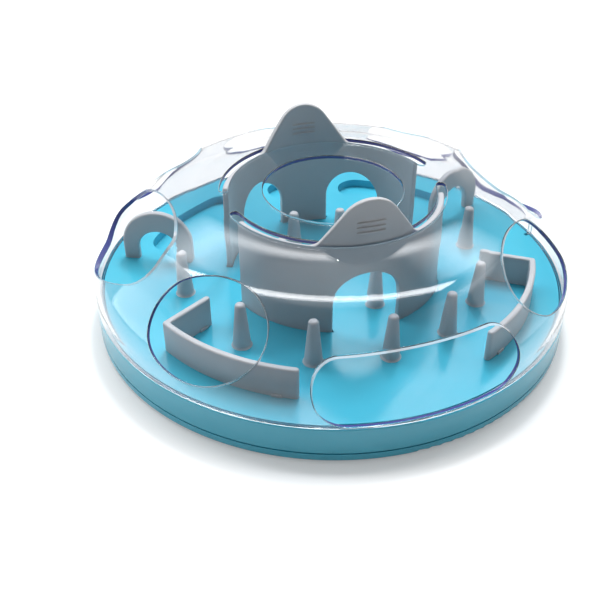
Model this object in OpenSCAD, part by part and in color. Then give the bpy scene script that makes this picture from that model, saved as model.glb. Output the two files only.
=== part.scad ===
// Slow feeder bowl. A turquoise tray carries grey pegs, walls and arches that the
// animal has to reach around. A clear dome with paw openings covers the tray, and the
// two curved walls of a turret stand in the tray and come up through slots in the dome.
// Z is up, the table is at z = 0 and the front of the bowl is on the -Y side.
// A turn of 0 is the front, and turns grow anticlockwise seen from above.

/* [Base] */
// Outside diameter of the tray and of the dome's rim
base_d = 300; // [290:1:320]
// Height of the tray's floor above the table
floor_z = 24.6; // [23.6:0.2:27]
// Thickness of the tray's floor
floor_t = 3; // [2.4:0.1:3.6]
// Thickness of the tray's outer wall
tray_wall_t = 3; // [2.4:0.1:4]
// Height of the bottom plate's top edge above the table
plate_top_z = 6.6; // [5.8:0.1:7.2]
// Thickness of the bottom plate
plate_t = 2.4; // [2:0.1:2.6]
// Height of the shadow gap between the bottom plate and the tray
seam_gap = 0.9; // [0.5:0.1:1.2]
// Radius on the lower outside edge of the bottom plate
plate_edge_r = 2.4; // [1.6:0.1:3]
// Thickness of the bottom plate's upright rim inside the shadow gap
plate_rim_t = 2; // [1.5:0.1:2.5]
// Inset of the bottom plate's upright rim from the outside
plate_rim_inset = 4.2; // [3.9:0.1:5]
// Radius on the tray's top outside edge
lip_round = 1.2; // [0.6:0.1:1.4]

/* [Dome seat] */
// Inset of the seat groove's outer side from the outside of the tray
seat_inset = 1.8; // [1.5:0.1:2.2]
// Width of the seat groove for the dome's tongue
seat_w = 2.6; // [2.4:0.1:3]
// Depth of the seat groove
seat_depth = 4.6; // [4:0.1:6]
// Thickness of the tray under and beside the seat groove
seat_wall_t = 2; // [1.6:0.1:2.6]
// Clearance at each side and under the end of the dome's tongue
seat_fit = 0.4; // [0.3:0.05:0.5]

/* [Dome] */
// Height of the dome's flat top above the tray's floor
dome_h = 60; // [58:0.5:64]
// Thickness of the dome
dome_t = 2.6; // [2.2:0.1:3]
// Distance from the dome's outside in to the ridge below the flat top
ridge_inset = 35.5; // [32:0.5:38]
// Height of the ridge above the tray's floor
ridge_h = 52.8; // [51:0.2:54]
// Distance from the ridge in to the edge of the flat top
top_run = 34.5; // [31:0.5:38]
// Height above the tray's floor at which the sloping side meets the upright skirt
shoulder_h = 19; // [16:0.5:22]
// Radius of the bend between the flat top and the ridge
top_bend_r = 60; // [40:1:80]
// Radius of the bend at the ridge
ridge_bend_r = 26; // [18:1:34]
// Radius of the bend at the shoulder
shoulder_bend_r = 24; // [16:1:30]
// Height to which the thick rim of the dome reaches above the tray's floor
rim_h = 1; // [0.8:0.1:1.4]
// Width of the flat top's ring between the round hole and the slots
hole_land = 22.2; // [20:0.1:26]
// Width of the key rib inside the dome's skirt
key_w = 1.8; // [1.4:0.1:2.4]
// Height of the key rib above the tray's floor
key_h = 14; // [10:0.5:15]
// Depth of the key rib inward from the skirt
key_depth = 2.6; // [2:0.1:3]
// Turn of the key rib
key_turn = 91; // [84:0.5:98]

/* [Dome slots] */
// Gap between a turret wall's faces and its slot
slot_gap = 1.1; // [0.8:0.1:1.4]
// Angle from a slot's middle to the centre of its round end
slot_half_turn = 76.5; // [75.5:0.5:78]

/* [Paw openings] */
// Turn of each opening's middle
paw_turns = [1.9, -48.7, 50.2, -98.5, 98.5, -135.6, 135.6, 180];
// Turn from each opening's middle to its side
paw_half_turns = [26.12, 16.01, 17.48, 26.85, 26.85, 15.93, 15.93, 19.85];
// Half of each opening's height, measured square to its axis
paw_half_hs = [17.8, 29.2, 26, 31, 31, 28, 28, 27];
// Radius of each opening's round ends
paw_end_rs = [17.4, 27, 23.5, 22, 22, 20, 20, 20];
// Tilt of each opening's axis above level
paw_tilts = [7, 43, 46, 46, 46, 46, 46, 46];
// Roll of each opening about its axis
paw_rolls = [0, 8, -3, 20, -20, 18, -18, 0];
// Distance from the dome's outside in to the middle of each opening
paw_insets = [16, 20.9, 21.8, 26, 26, 22.5, 22.5, 23.4];
// Height of each opening's middle above the tray's floor
paw_mid_hs = [17.9, 33.3, 35.2, 34.4, 34.4, 36.5, 36.5, 37.2];

/* [Turret] */
// Distance from the turret walls' outside to the edge of the dome's flat top
turret_margin = 11.8; // [10:0.1:14]
// Thickness of the turret walls
turret_t = 3.6; // [3:0.1:4]
// Height of the turret walls' rim above the tray's floor
turret_h = 57.6; // [55:0.1:58.4]
// Angle from a turret wall's middle to its end
turret_half_turn = 72.5; // [71:0.5:73.5]
// Depth to which the turret walls stand in the tray's grooves
turret_foot = 5; // [4:0.1:6]
// Clearance between a turret wall and its groove in the tray
turret_fit = 0.4; // [0.3:0.05:0.5]
// Extra angle of the groove past each end of a turret wall
groove_end_turn = 1.2; // [0.6:0.1:1.6]
// Thickness of the tray beside and under the turret grooves
groove_wall_t = 2; // [1.6:0.1:2.4]
// Half of the width of the front wall's doorway
door_half_w = 20; // [17:0.5:22]
// Height of the front wall's doorway above the tray's floor
door_h = 39; // [36:0.5:41]
// Half of the width of each of the rear wall's doorways
rear_door_half_w = 18.5; // [16:0.5:19.5]
// Height of the rear wall's doorways above the tray's floor
rear_door_h = 37.5; // [35:0.5:40]
// Turn of each rear doorway from the middle of the rear wall
rear_door_turn = 30.5; // [28:0.5:32]

/* [Turret tabs] */
// Height of each lifting tab above the turret's rim
tab_h = 29.6; // [27:0.1:32]
// Radius of the tab's rounded top
tab_top_r = 13; // [11:0.5:15]
// Slope of the tab's flanks above level
tab_slope = 50; // [46:1:54]
// Radius of the hollow curve at the foot of each flank
tab_foot_r = 9; // [6:0.5:12]
// Depth to which the hollow curves run into the turret's rim
tab_foot_sink = 0.2; // [0.1:0.05:0.3]
// Half of the length of each grip line on the tabs
grip_half_w = 8.6; // [6:0.1:10]
// Height of each grip line
grip_h = 1.1; // [0.8:0.1:1.4]
// Distance that a grip line stands proud of the tab
grip_proud = 0.5; // [0.3:0.1:0.6]
// Height of the lowest grip line above the turret's rim
grip_low_h = 9; // [7:0.5:11]
// Distance between the grip lines
grip_pitch = 3.1; // [2.6:0.1:3.6]
// Number of grip lines on each face of a tab
grip_count = 3; // [2:1:4]

/* [Pegs] */
// Turn of each outer peg
outer_peg_turns = [-90, -50.5, -24, 2.7, 27.6, 50.4, 90.5];
// Distance from the turret's outside to the ring on which the outer pegs stand
outer_ring_gap = 27.6; // [25:0.1:30]
// Turn of each inner peg
inner_peg_turns = [-149.5, -88.5, 18, 151.5];
// Distance of each inner peg from the bowl's axis as a share of the turret's inside radius
inner_peg_shares = [0.522, 0.517, 0.704, 0.433];
// Height of a peg above the tray's floor
peg_h = 29; // [26:0.5:32]
// Radius of a peg at the floor
peg_foot_r = 5.4; // [5:0.1:6]
// Radius of a peg at the start of its rounded tip
peg_tip_r = 3; // [2.8:0.1:3.6]
// Radius of the rounding on a peg's tip
peg_round_r = 2; // [1.5:0.1:2.5]
// Distance by which the collar at a peg's foot stands out
peg_collar_out = 0.7; // [0.4:0.1:1]
// Height of the collar at a peg's foot
peg_collar_h = 1; // [0.6:0.1:1.6]
// Radius of the stem under a peg
stem_r = 2.6; // [2.2:0.1:3]
// Length of the stem under a peg
stem_h = 7; // [5:0.5:8]
// Clearance round the stems and tongues that hold the obstacles in the tray
socket_fit = 0.08; // [0.05:0.01:0.1]
// Thickness of the tray round and under each socket
socket_wall_t = 1.8; // [1.4:0.1:2.4]

/* [Corner walls] */
// Distance from the tray's outside in to the corner walls' long legs
corner_inset = 21.4; // [20:0.1:23]
// Thickness of the corner walls
corner_t = 3.8; // [3:0.1:4.4]
// Height of the corner walls above the tray's floor
corner_h = 19.6; // [17:0.1:22]
// Turn of the centre of a corner wall's round end at the front
corner_end_turn = 26.5; // [25:0.1:28]
// Turn of the corner between the legs
corner_turn = 65; // [63:0.1:66]
// Turn of the centre of the short leg's round end
corner_tip_turn = 67.6; // [66:0.1:69]
// Distance inward from the long leg to the centre of the short leg's round end
corner_reach = 30.8; // [28:0.1:33]
// Length of each tongue under the corner walls and arches
tongue_len = 7; // [6:0.5:8]
// Thickness of each tongue
tongue_t = 2.4; // [2:0.1:2.6]
// Depth of each tongue below the tray's floor
tongue_h = 6; // [5:0.5:7]
// Turn of the tongue near the long leg's end
corner_tongue_turn = 31; // [30:0.5:36]
// Distance along the short leg from the corner to its tongue
corner_tongue_reach = 25.7; // [23:0.1:27]
// Length of the small clip lug at a corner wall's foot
lug_len = 6; // [4:0.5:7]
// Height of the clip lug
lug_h = 1.6; // [1:0.1:2]
// Distance by which the clip lug stands out
lug_out = 0.8; // [0.5:0.1:1.2]

/* [Arches] */
// Turn of the arch on each side of the bowl
arch_turn = 113; // [111.5:0.5:114]
// Distance from the tray's outside in to the middle of an arch
arch_inset = 36; // [34:0.5:38]
// Half of an arch's overall width
arch_half_w = 23; // [21:0.5:24]
// Height of an arch above the tray's floor
arch_h = 34.5; // [32:0.5:36]
// Half of the width of an arch's opening
arch_gap_half_w = 12.8; // [11.5:0.1:14]
// Height of an arch's opening above the tray's floor
arch_gap_h = 20.5; // [18:0.5:22]
// Thickness of an arch
arch_t = 4.6; // [4:0.1:5.2]
// Rounding on the edges of an arch
arch_round = 1.4; // [0.8:0.1:1.8]

/* [Kibble troughs] */
// Distance from the tray's outside in to the middle of the troughs
trough_inset = 38; // [36:0.5:40]
// Half of a trough's width
trough_half_w = 14; // [12:0.5:14.5]
// Depth of the troughs below the floor
trough_depth = 6; // [5:0.5:8]
// Thickness of the troughs' walls and bottoms
trough_t = 2; // [1.6:0.1:2.4]
// Turn of the centre of a trough's forward round end
trough_near_turn = 124; // [123.5:0.5:127]
// Turn of the centre of a trough's rearward round end
trough_far_turn = 152.5; // [148:0.5:155]

/* [Feet and screws] */
// Radius of a rubber foot
foot_r = 9; // [7:0.5:11]
// Thickness of a rubber foot
foot_t = 2.2; // [2:0.1:2.4]
// Distance by which the feet stand below the bottom plate
foot_drop = 1; // [0.8:0.1:1.2]
// Turn of each rubber foot
foot_turns = [-35, 35, 145, -145];
// Distance from the tray's outside in to the middle of a rubber foot
foot_inset = 24; // [20:0.5:28]
// Wall and bottom that the plate keeps round each rubber foot
foot_cup_t = 1.6; // [1.2:0.1:2]
// Clearance round a rubber foot in its recess
foot_fit = 0.05; // [0.03:0.01:0.08]
// Turn of each screw
screw_turns = [0, 60, 120, 180, 240, 300];
// Distance from the tray's outside in to a screw
screw_inset = 11.5; // [11:0.1:12.5]
// Radius of a screw's shank
screw_r = 1.4; // [1.2:0.1:1.6]
// Radius of a screw's head
screw_head_r = 2.8; // [2.5:0.1:3]
// Height of a screw's head
screw_head_h = 1.3; // [1:0.1:1.4]
// Length of a screw's shank
screw_len = 11; // [9:0.5:12]
// Radius of the drive recess in a screw's head
screw_drive_r = 1.2; // [1:0.1:1.4]
// Depth of the drive recess
screw_drive_h = 0.7; // [0.5:0.1:0.8]
// Clearance round a screw's shank
screw_fit = 0.06; // [0.04:0.01:0.1]
// Thickness of the tray's post round a screw
post_t = 2.4; // [2:0.1:2.6]

/* [Hidden] */
// Overrun of every cut past the face that it opens
over = 1;
// Overlap of the round ends of a paw opening with its long sides
arc_lap = 0.1;
// Fineness of the round shapes, and of the widest ones
$fn = 96;
dome_fn = 2 * $fn;
fine_fn = 2 * dome_fn;
// Outside radius of the tray and dome
base_r = base_d / 2;
// Underside of the bottom plate
plate_z = foot_drop;
// Lower edge of the tray's wall
tray_z = plate_top_z + seam_gap;
// Radii of the seat groove
seat_out_r = base_r - seat_inset;
seat_in_r = seat_out_r - seat_w;
// Heights of the dome's flat top, ridge and shoulder above the table
dome_z = floor_z + dome_h;
ridge_z = floor_z + ridge_h;
shoulder_z = floor_z + shoulder_h;
// Radii of the dome's ridge and flat top
ridge_r = base_r - ridge_inset;
dome_top_r = ridge_r - top_run;
// Height of the turret walls' rim and lower end above the table
turret_z = floor_z + turret_h;
turret_low_z = floor_z - turret_foot;
// Outside, middle and inside radius of the turret walls
turret_r = dome_top_r - turret_margin;
turret_mid_r = turret_r - turret_t / 2;
turret_in_r = turret_r - turret_t;
// Half of the width of the dome's slots, and radius of its hole
slot_half_w = turret_t / 2 + slot_gap;
hole_r = turret_mid_r - slot_half_w - hole_land;
// Distance from the bowl's axis to the outer pegs
outer_ring_r = turret_r + outer_ring_gap;
// Middle radius of the corner walls' long legs, and the centres of their corner and tip
corner_mid_r = base_r - corner_inset - corner_t / 2;
corner_place = plan(corner_mid_r, corner_turn);
corner_tip = plan(corner_mid_r - corner_reach, corner_tip_turn);
// Direction of the corner walls' short leg
corner_lean = atan2(corner_tip[1] - corner_place[1], corner_tip[0] - corner_place[0]);
// Distances from the bowl's axis to the arches, troughs, feet and screws
arch_mid_r = base_r - arch_inset;
trough_mid_r = base_r - trough_inset;
foot_mid_r = base_r - foot_inset;
screw_mid_r = base_r - screw_inset;
// Middle of the tab's rounded top above the rim
tab_top_h = tab_h - tab_top_r;
// Half of the tab's width at the rim
tab_touch = [tab_top_r * sin(tab_slope), tab_top_h + tab_top_r * cos(tab_slope)];
tab_half_w = tab_touch[0] + tab_touch[1] / tan(tab_slope);
// Reach of the hollow curve along the rim and the flank
tab_foot_reach = tab_foot_r * tan(tab_slope / 2);
// Colours
tray_colour = [0.16, 0.66, 0.80];
grey_colour = [0.80, 0.81, 0.83];
clear_colour = [0.90, 0.93, 0.98, 0.25];
rubber_colour = [0.25, 0.27, 0.30];
steel_colour = [0.70, 0.71, 0.73];
// Sub-part to build

// The point at a radius and turn on the plan
function plan(r, turn) = [r * sin(turn), -r * cos(turn)];
// Unit vector from one point to another
function unit(p, q) = (q - p) / norm(q - p);
// The left-hand normal of a unit vector, which is inward for the dome's outline
function inward(d) = [d[1], -d[0]];
// The outline's inward corner vector for unit thickness
function mitre(p, q, s) =
    let (a = inward(unit(p, q)), b = inward(unit(q, s))) (a + b) / (1 + a * b);

// Places children at a turn and a distance from the bowl's axis
module at(turn, r) {
    rotate([0, 0, turn]) translate([0, -r, 0]) children();
}

// A flat ring on the plan
module ring_plan(out_r, in_r) {
    difference() {
        circle(r = out_r);
        circle(r = in_r);
    }
}

// A wedge on the plan that reaches past a radius, its middle at the front
module wedge_plan(r, half_turn) {
    far = (r + over) / cos(half_turn / 3);
    edge = plan(far, half_turn);
    third = plan(far, half_turn / 3);
    polygon([[0, 0], [-edge[0], edge[1]], [-third[0], third[1]], third, edge]);
}

// A curved bar on the plan, its middle at the front
module bar_plan(out_r, in_r, half_turn) {
    intersection() {
        ring_plan(out_r, in_r);
        wedge_plan(out_r, half_turn);
    }
}

// A curved bar with round ends on the plan, from one turn to another
module slot_plan(mid_r, half_w, turn_a, turn_b) {
    half = (turn_b - turn_a) / 2;
    rotate((turn_a + turn_b) / 2) {
        bar_plan(mid_r + half_w, mid_r - half_w, half);
        translate(plan(mid_r, half)) circle(r = half_w);
        translate(plan(mid_r, -half)) circle(r = half_w);
    }
}

// An upright doorway outline with a half-round top
module door_outline(half_w, h, low) {
    translate([-half_w, -low]) square([2 * half_w, h - half_w + low]);
    intersection() {
        translate([0, h - half_w]) circle(r = half_w);
        translate([-half_w, h - half_w - over]) square([2 * half_w, half_w + over]);
    }
}

// Stands an outline of width and height upright and carries it from the axis forwards
module through_wall() {
    rotate([90, 0, 0]) linear_extrude(turret_r + over) children();
}

// One curved wall of the turret with its lifting tab, middle at the front
module turret_blank() {
    translate([0, 0, turret_low_z]) linear_extrude(turret_z - turret_low_z)
        bar_plan(turret_r, turret_in_r, turret_half_turn);
    intersection() {
        translate([0, 0, turret_z - over]) linear_extrude(tab_h + over)
            ring_plan(turret_r, turret_in_r);
        translate([0, 0, turret_z]) through_wall() tab_outline();
    }
    for (k = [0 : grip_count - 1])
        intersection() {
            translate([0, 0, turret_z + grip_low_h + k * grip_pitch]) through_wall()
                translate([-grip_half_w, 0]) square([2 * grip_half_w, grip_h]);
            translate([0, 0, turret_z]) linear_extrude(tab_h)
                ring_plan(turret_r + grip_proud, turret_in_r - grip_proud);
        }
}

// Bell-shaped outline of a lifting tab above the rim
module tab_outline() {
    reach = tab_half_w + tab_foot_reach;
    translate([0, tab_top_h]) circle(r = tab_top_r);
    polygon([
        [-tab_half_w, 0], [tab_half_w, 0], tab_touch, [-tab_touch[0], tab_touch[1]]
    ]);
    for (side = [-1, 1])
        difference() {
            polygon([
                [0, 0], [side * reach, 0],
                [side * (tab_half_w - tab_foot_reach * cos(tab_slope)),
                    tab_foot_reach * sin(tab_slope)]
            ]);
            translate([side * reach, tab_foot_r - tab_foot_sink]) circle(r = tab_foot_r);
        }
    translate([-tab_half_w, -over]) square([2 * tab_half_w, over]);
}

// Doorway cut through the turret at a turn
module turret_door(turn, half_w, h) {
    rotate([0, 0, turn]) translate([0, 0, floor_z]) through_wall()
        door_outline(half_w, h, turret_foot + over);
}

// Wall at the front of the turret, with one doorway
module turret_front() {
    color(grey_colour) difference() {
        turret_blank();
        turret_door(0, door_half_w, door_h);
    }
}

// Wall at the rear of the turret, with two doorways
module turret_rear() {
    color(grey_colour) rotate([0, 0, 180]) difference() {
        turret_blank();
        for (side = [-1, 1]) turret_door(side * rear_door_turn, rear_door_half_w, rear_door_h);
    }
}

// Plan of one wall's groove in the tray, open by a clearance
module groove_plan(fit, end_turn) {
    bar_plan(turret_r + fit, turret_in_r - fit, turret_half_turn + end_turn);
}

// Strip of the plan that a doorway keeps free of groove
module door_strip(turn, half_w) {
    rotate(turn) translate([-half_w, -turret_r - turret_fit - over])
        square([2 * half_w, turret_r + turret_fit + over]);
}

// Grooves of both turret walls, or the backing under them
module turret_grooves(fit, end_turn, low_z, high_z) {
    translate([0, 0, low_z]) linear_extrude(high_z - low_z) {
        difference() {
            groove_plan(fit, end_turn);
            door_strip(0, door_half_w - fit);
        }
        rotate(180) difference() {
            groove_plan(fit, end_turn);
            for (side = [-1, 1]) door_strip(side * rear_door_turn, rear_door_half_w - fit);
        }
    }
}

// Peg with a collar, a taper, a rounded tip and a stem into the tray
module peg(turn, r) {
    straight_h = peg_h - peg_round_r;
    flat_r = peg_tip_r - peg_round_r;
    color(grey_colour) at(turn, r) translate([0, 0, floor_z]) {
        rotate_extrude() intersection() {
            union() {
                polygon([[0, 0], [peg_foot_r, 0], [peg_tip_r, straight_h], [0, straight_h]]);
                translate([flat_r, straight_h]) circle(r = peg_round_r);
                square([flat_r, peg_h]);
            }
            square([peg_foot_r, peg_h]);
        }
        cylinder(r1 = peg_foot_r + peg_collar_out, r2 = peg_foot_r, h = peg_collar_h);
        translate([0, 0, -stem_h]) cylinder(r = stem_r, h = stem_h);
    }
}

// One of the pegs around the turret
module outer_peg(k) {
    peg(outer_peg_turns[k], outer_ring_r);
}

// One of the pegs inside the turret
module inner_peg(k) {
    peg(inner_peg_turns[k], inner_peg_shares[k] * turret_in_r);
}

// Tongues under the right-hand corner wall, or the sockets for them
module corner_tongues(fit, h) {
    translate([0, 0, floor_z - h]) {
        at(corner_tongue_turn, corner_mid_r)
            translate([-tongue_len / 2 - fit, -tongue_t / 2 - fit, 0])
                cube([tongue_len + 2 * fit, tongue_t + 2 * fit, h + over]);
        translate(corner_place) rotate([0, 0, corner_lean])
            translate([corner_tongue_reach - tongue_len / 2 - fit, -tongue_t / 2 - fit, 0])
                cube([tongue_len + 2 * fit, tongue_t + 2 * fit, h + over]);
    }
}

// Plan of the right-hand corner wall, its long leg curved and its ends round
module corner_plan() {
    half = (corner_turn - corner_end_turn) / 2;
    rotate(corner_end_turn + half)
        bar_plan(corner_mid_r + corner_t / 2, corner_mid_r - corner_t / 2, half);
    for (place = [plan(corner_mid_r, corner_end_turn), corner_place, corner_tip])
        translate(place) circle(r = corner_t / 2);
    translate(corner_place) rotate(corner_lean) translate([0, -corner_t / 2])
        square([norm(corner_tip - corner_place), corner_t]);
}

// Right-hand corner wall, with clip lugs at its foot
module corner_wall() {
    corner_tongues(0, tongue_h);
    translate([0, 0, floor_z]) {
        linear_extrude(corner_h) corner_plan();
        at(corner_tongue_turn, corner_mid_r) translate([-lug_len / 2, -corner_t / 2 - lug_out, 0])
            cube([lug_len, corner_t, lug_h]);
        translate(corner_place) rotate([0, 0, corner_lean])
            translate([corner_tongue_reach - lug_len / 2, lug_out - corner_t / 2, 0])
                cube([lug_len, corner_t, lug_h]);
    }
}

// Corner wall on the right
module corner_wall_right() {
    color(grey_colour) corner_wall();
}

// Corner wall on the left, the mirror image of the right one
module corner_wall_left() {
    color(grey_colour) mirror([1, 0, 0]) corner_wall();
}

// Tongues under the right-hand arch, or the sockets for them
module arch_tongues(fit, h) {
    leg_mid = (arch_half_w + arch_gap_half_w) / 2;
    at(arch_turn, arch_mid_r) for (side = [-1, 1])
        translate([-tongue_t / 2 - fit, side * leg_mid - tongue_len / 2 - fit, floor_z - h])
            cube([tongue_t + 2 * fit, tongue_len + 2 * fit, h + over]);
}

// Cross-section of an arch's legs and top, with rounded edges
module arch_section() {
    side = arch_t / 2 - arch_round;
    square([2 * arch_half_w, 2 * side], center = true);
    square([2 * (arch_half_w - arch_round), arch_t], center = true);
    for (x = [-1, 1], y = [-1, 1])
        translate([x * (arch_half_w - arch_round), y * side]) circle(r = arch_round);
}

// Cross-section of an arch's opening, flared at both faces
module arch_gap_section() {
    reach = arch_gap_half_w + arch_round;
    square([2 * arch_gap_half_w, arch_t + 2 * over], center = true);
    for (x = [-1, 1], y = [-1, 1]) scale([x, y]) difference() {
        translate([0, arch_t / 2 - arch_round]) square([reach, arch_round + over]);
        translate([reach, arch_t / 2 - arch_round]) circle(r = arch_round);
    }
}

// Carries a section up from a height and round a half circle at the top
module arch_sweep(low, half_w, h) {
    translate([0, 0, low]) linear_extrude(h - half_w - low) children();
    translate([0, 0, h - half_w]) intersection() {
        rotate([90, 0, 0]) rotate_extrude() intersection() {
            children();
            translate([0, -arch_t]) square([h + half_w, 2 * arch_t]);
        }
        translate([-h, -arch_t, 0]) cube([2 * h, 2 * arch_t, h]);
    }
}

// Right-hand arch, standing along a radius
module arch() {
    at(arch_turn, arch_mid_r) translate([0, 0, floor_z]) rotate([0, 0, 90]) difference() {
        arch_sweep(0, arch_half_w, arch_h) arch_section();
        arch_sweep(-over, arch_gap_half_w, arch_gap_h) arch_gap_section();
    }
    arch_tongues(0, tongue_h);
}

// Arch on the right
module arch_right() {
    color(grey_colour) arch();
}

// Arch on the left, the mirror image of the right one
module arch_left() {
    color(grey_colour) mirror([1, 0, 0]) arch();
}

// Troughs for the food, with their walls when a thickness is given
module troughs(t, depth, high_z) {
    translate([0, 0, floor_z - depth]) linear_extrude(high_z - floor_z + depth) {
        for (side = [0, 1]) mirror([side, 0])
            slot_plan(trough_mid_r, trough_half_w + t, trough_near_turn, trough_far_turn);
        translate(plan(trough_mid_r, 180)) circle(r = trough_half_w + t);
    }
}

// Sockets of every peg, corner wall and arch, with walls when a thickness is given
module sockets(t, high_z) {
    fit = socket_fit + t;
    low = floor_z - stem_h - fit;
    for (turn = outer_peg_turns) at(turn, outer_ring_r)
        translate([0, 0, low]) cylinder(r = stem_r + fit, h = high_z - low);
    for (k = [0 : len(inner_peg_turns) - 1])
        at(inner_peg_turns[k], inner_peg_shares[k] * turret_in_r)
            translate([0, 0, low]) cylinder(r = stem_r + fit, h = high_z - low);
    for (side = [0, 1]) mirror([side, 0, 0]) translate([0, 0, high_z - floor_z]) {
        corner_tongues(fit, tongue_h + fit + high_z - floor_z);
        arch_tongues(fit, tongue_h + fit + high_z - floor_z);
    }
}

// Outside of the tray with its rounded top edge
module tray_blank() {
    rotate_extrude() {
        translate([0, tray_z]) square([base_r, floor_z - lip_round - tray_z]);
        translate([0, tray_z]) square([base_r - lip_round, floor_z - tray_z]);
        translate([base_r - lip_round, floor_z - lip_round]) circle(r = lip_round);
    }
}

// Tray with its floor, troughs, seat groove, sockets and screw posts
module base_tray() {
    under_z = floor_z - floor_t;
    seat_low_z = floor_z - seat_depth;
    color(tray_colour) difference() {
        union() {
            difference() {
                tray_blank();
                translate([0, 0, tray_z - over])
                    cylinder(r = base_r - tray_wall_t, h = under_z - tray_z + over);
            }
            translate([0, 0, seat_low_z - seat_wall_t])
                linear_extrude(floor_z - lip_round - seat_low_z + seat_wall_t)
                    ring_plan(base_r - lip_round, seat_in_r - seat_wall_t);
            troughs(trough_t, trough_depth + trough_t, under_z + floor_t / 2);
            turret_grooves(turret_fit + groove_wall_t, groove_end_turn,
                turret_low_z - groove_wall_t, under_z + floor_t / 2);
            sockets(socket_wall_t, under_z + floor_t / 2);
            for (turn = screw_turns) at(turn, screw_mid_r) translate([0, 0, plate_top_z])
                cylinder(r = screw_r + post_t, h = under_z - plate_top_z + floor_t / 2);
        }
        translate([0, 0, seat_low_z]) linear_extrude(seat_depth + over)
            ring_plan(seat_out_r, seat_in_r);
        at(key_turn, seat_in_r) translate([0, 0, seat_low_z + (seat_depth + over) / 2])
            cube([key_w + 2 * seat_fit, 2 * (key_depth + seat_fit), seat_depth + over],
                center = true);
        troughs(0, trough_depth, floor_z + over);
        turret_grooves(turret_fit, groove_end_turn, turret_low_z, floor_z + over);
        sockets(0, floor_z + over);
        for (turn = screw_turns) at(turn, screw_mid_r) translate([0, 0, plate_top_z - over])
            cylinder(r = screw_r + screw_fit, h = screw_len + over);
    }
}

// Bottom plate with an upright rim, screw holes and recesses for the feet
module base_plate() {
    rim_r = base_r - plate_rim_inset;
    color(tray_colour) difference() {
        union() {
            rotate_extrude() {
                translate([0, plate_z + plate_edge_r])
                    square([base_r, plate_top_z - plate_z - plate_edge_r]);
                translate([0, plate_z]) square([base_r - plate_edge_r, plate_edge_r]);
                translate([base_r - plate_edge_r, plate_z + plate_edge_r])
                    circle(r = plate_edge_r);
            }
            translate([0, 0, plate_z]) linear_extrude(tray_z + seam_gap - plate_z)
                ring_plan(rim_r, rim_r - plate_rim_t);
        }
        translate([0, 0, plate_z + plate_t]) linear_extrude(plate_top_z)
            difference() {
                circle(r = rim_r - plate_rim_t);
                for (turn = screw_turns) translate(plan(screw_mid_r, turn))
                    circle(r = screw_head_r + post_t);
                for (turn = foot_turns) translate(plan(foot_mid_r, turn))
                    circle(r = foot_r + foot_cup_t);
            }
        for (turn = foot_turns) at(turn, foot_mid_r) translate([0, 0, plate_z - over])
            cylinder(r = foot_r + foot_fit, h = foot_t - foot_drop + over);
        for (turn = screw_turns) at(turn, screw_mid_r) translate([0, 0, plate_z - over]) {
            cylinder(r = screw_r + screw_fit, h = plate_top_z + over);
            cylinder(r = screw_head_r + screw_fit, h = screw_head_h + over);
        }
    }
}

// Rubber foot in its recess
module rubber_foot(turn) {
    color(rubber_colour) at(turn, foot_mid_r) cylinder(r = foot_r, h = foot_t);
}

// Screws that hold the bottom plate to the tray
module plate_screws() {
    color(steel_colour) for (turn = screw_turns) at(turn, screw_mid_r)
        translate([0, 0, plate_z]) difference() {
            union() {
                cylinder(r = screw_head_r, h = screw_head_h);
                cylinder(r = screw_r, h = screw_len + screw_head_h);
            }
            translate([0, 0, -over]) cylinder(r = screw_drive_r, h = screw_drive_h + over);
        }
}

// Half section of the dome's solid outline, drawn in by a distance, from a height up
module dome_section(inset, low_z) {
    line = [[0, dome_z], [dome_top_r, dome_z], [ridge_r, ridge_z],
        [base_r, shoulder_z], [base_r, low_z]];
    bends = [top_bend_r, ridge_bend_r, shoulder_bend_r];
    mids = [for (k = [0 : 2]) line[k + 1] + bends[k] * mitre(line[k], line[k + 1], line[k + 2])];
    touches = [for (k = [0 : 2], j = [0, 1])
        mids[k] - (bends[k] - inset) * inward(unit(line[k + j], line[k + j + 1]))];
    intersection() {
        union() {
            polygon(concat([[0, low_z], [0, dome_z - inset]], touches,
                [[base_r - inset, low_z]]));
            for (k = [0 : 2]) translate(mids[k]) circle(r = bends[k] - inset);
        }
        translate([0, low_z]) square([base_r, dome_z - low_z]);
    }
}

// Oval outline made of four arcs that run into each other
module oval(half_w, half_h, end_r) {
    side_r = (pow(half_w - end_r, 2) + pow(half_h, 2) - pow(end_r, 2)) / (2 * (half_h - end_r));
    touch = (half_w - end_r) * side_r / (side_r - end_r);
    for (side = [-1, 1]) translate([side * (half_w - end_r), 0]) circle(r = end_r + arc_lap);
    intersection() {
        translate([0, side_r - half_h]) circle(r = side_r, $fn = fine_fn);
        translate([0, half_h - side_r]) circle(r = side_r, $fn = fine_fn);
        translate([-touch, -half_h]) square([2 * touch, 2 * half_h]);
    }
}

// Paw opening cut through the dome along its own axis
module paw_opening(k) {
    mid_r = base_r - paw_insets[k];
    half_w = mid_r * sin(paw_half_turns[k]);
    depth = ridge_inset + dome_t;
    at(paw_turns[k], mid_r) translate([0, 0, floor_z + paw_mid_hs[k]])
        rotate([90 - paw_tilts[k], 0, 0]) rotate([0, 0, paw_rolls[k]]) translate([0, 0, -depth])
            linear_extrude(2 * depth) oval(half_w, paw_half_hs[k], paw_end_rs[k]);
}

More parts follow.
